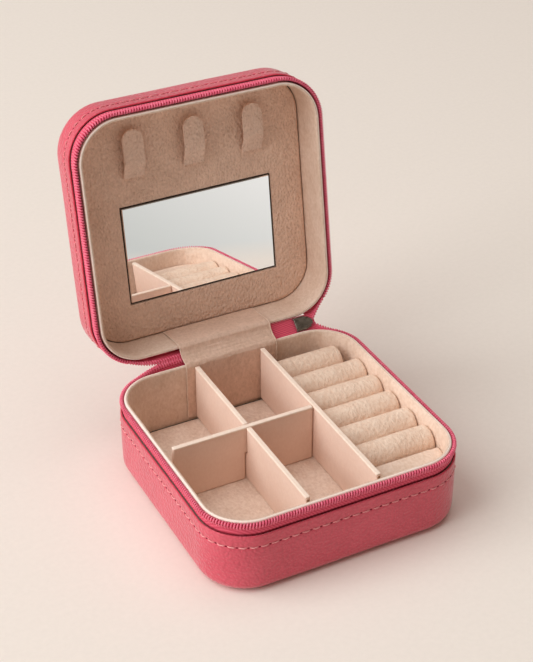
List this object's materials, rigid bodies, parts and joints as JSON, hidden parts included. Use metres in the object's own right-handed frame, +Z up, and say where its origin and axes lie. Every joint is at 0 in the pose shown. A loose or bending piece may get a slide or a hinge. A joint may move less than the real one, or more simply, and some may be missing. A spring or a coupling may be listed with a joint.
{
  "type": "travel jewelry case",
  "caption": "Square zip-up travel jewelry case standing open, with loose dividers and ring rolls in the base and a mirror and necklace tabs in the lid.",
  "frame": {"origin": "middle of the base's flat underside", "axes": "+X to the right along the front, +Y to the back where the hinge is, +Z up"},
  "size_m": [0.1, 0.136, 0.1292],
  "materials": {
    "pink_leather": "satin, fine pebble grain",
    "board": "matte",
    "zipper_fabric": "woven, matte",
    "zipper_coil": "satin nylon",
    "cream_velvet": "short velvet pile",
    "divider_cloth": "matte cloth over board",
    "foam": "foam under cloth",
    "panel_suede": "brushed suede",
    "gunmetal": "satin gunmetal plating",
    "snap_brass": "polished",
    "mirror_glass": "polished"
  },
  "bodies": {
    "base": {"base_leather_cover": "pink_leather", "base_board_shell": "board", "base_lining_wall": "cream_velvet", "base_floor_pad": "cream_velvet", "base_zipper_tape": "zipper_fabric", "base_zipper_coil": "zipper_coil", "ring_divider": "divider_cloth", "ring_roll_bed": "foam", "ring_front_ledge": "cream_velvet", "ring_roll_1": "cream_velvet", "ring_roll_2": "cream_velvet", "ring_roll_3": "cream_velvet", "ring_roll_4": "cream_velvet", "ring_roll_5": "cream_velvet", "ring_roll_6": "cream_velvet", "hinge_strip": "divider_cloth", "hinge_spine": "pink_leather"},
    "lid": {"lid_leather_cover": "pink_leather", "lid_board_shell": "board", "lid_lining_wall": "cream_velvet", "lid_panel": "panel_suede", "mirror": "mirror_glass", "lid_zipper_tape": "zipper_fabric", "lid_zipper_coil": "zipper_coil", "snap_stud_1": "snap_brass", "snap_stud_2": "snap_brass", "snap_stud_3": "snap_brass"},
    "long_divider": {"long_divider": "divider_cloth"},
    "cross_divider": {"cross_divider": "divider_cloth"},
    "zipper_end": {"zipper_closed_chain": "zipper_fabric", "zipper_bottom_stop": "gunmetal"},
    "slider": {"zipper_slider": "gunmetal"},
    "pull": {"zipper_pull": "gunmetal"},
    "tab_1": {"necklace_tab_1": "panel_suede"},
    "tab_2": {"necklace_tab_2": "panel_suede"},
    "tab_3": {"necklace_tab_3": "panel_suede"}
  },
  "joints": [
    {"name": "lid_hinge", "type": "hinge", "parent": "base", "child": "lid", "pos_m": [0, 0.0512, 0.03025], "axis": [-1, 0, 0], "range_deg": [-99, 21], "deforming": ["hinge_strip", "hinge_spine"]},
    {"name": "zipper_end_turn", "type": "hinge", "parent": "base", "child": "zipper_end", "pos_m": [0, 0.0512, 0.03025], "axis": [-1, 0, 0], "range_deg": [-49.6, 10.6]},
    {"name": "slider_slide", "type": "slide", "parent": "zipper_end", "child": "slider", "axis": [1, 0, 0], "range_m": [-0.006, 0.003]},
    {"name": "pull_swing", "type": "hinge", "parent": "slider", "child": "pull", "pos_m": [0.0348, 0.05289, 0.02827], "axis": [1, 0, 0], "range_deg": [-8, 70]},
    {"name": "necklace_tab_1_fold", "type": "hinge", "parent": "lid", "child": "tab_1", "pos_m": [-0.0228, 0.07699, 0.09754], "axis": [1, 0, 0], "range_deg": [0, 80]},
    {"name": "necklace_tab_2_fold", "type": "hinge", "parent": "lid", "child": "tab_2", "pos_m": [0.0015, 0.07699, 0.09754], "axis": [1, 0, 0], "range_deg": [0, 80]},
    {"name": "necklace_tab_3_fold", "type": "hinge", "parent": "lid", "child": "tab_3", "pos_m": [0.0258, 0.07699, 0.09754], "axis": [1, 0, 0], "range_deg": [0, 80]},
    {"name": "long_divider_lift", "type": "slide", "parent": "base", "child": "long_divider", "axis": [0, 0, 1], "range_m": [0, 0.03]},
    {"name": "cross_divider_lift", "type": "slide", "parent": "long_divider", "child": "cross_divider", "axis": [0, 0, 1], "range_m": [0, 0.03]}
  ],
  "couplings": [
    {"joint": "zipper_end_turn", "follows": "lid_hinge", "ratio": 0.5}
  ]
}
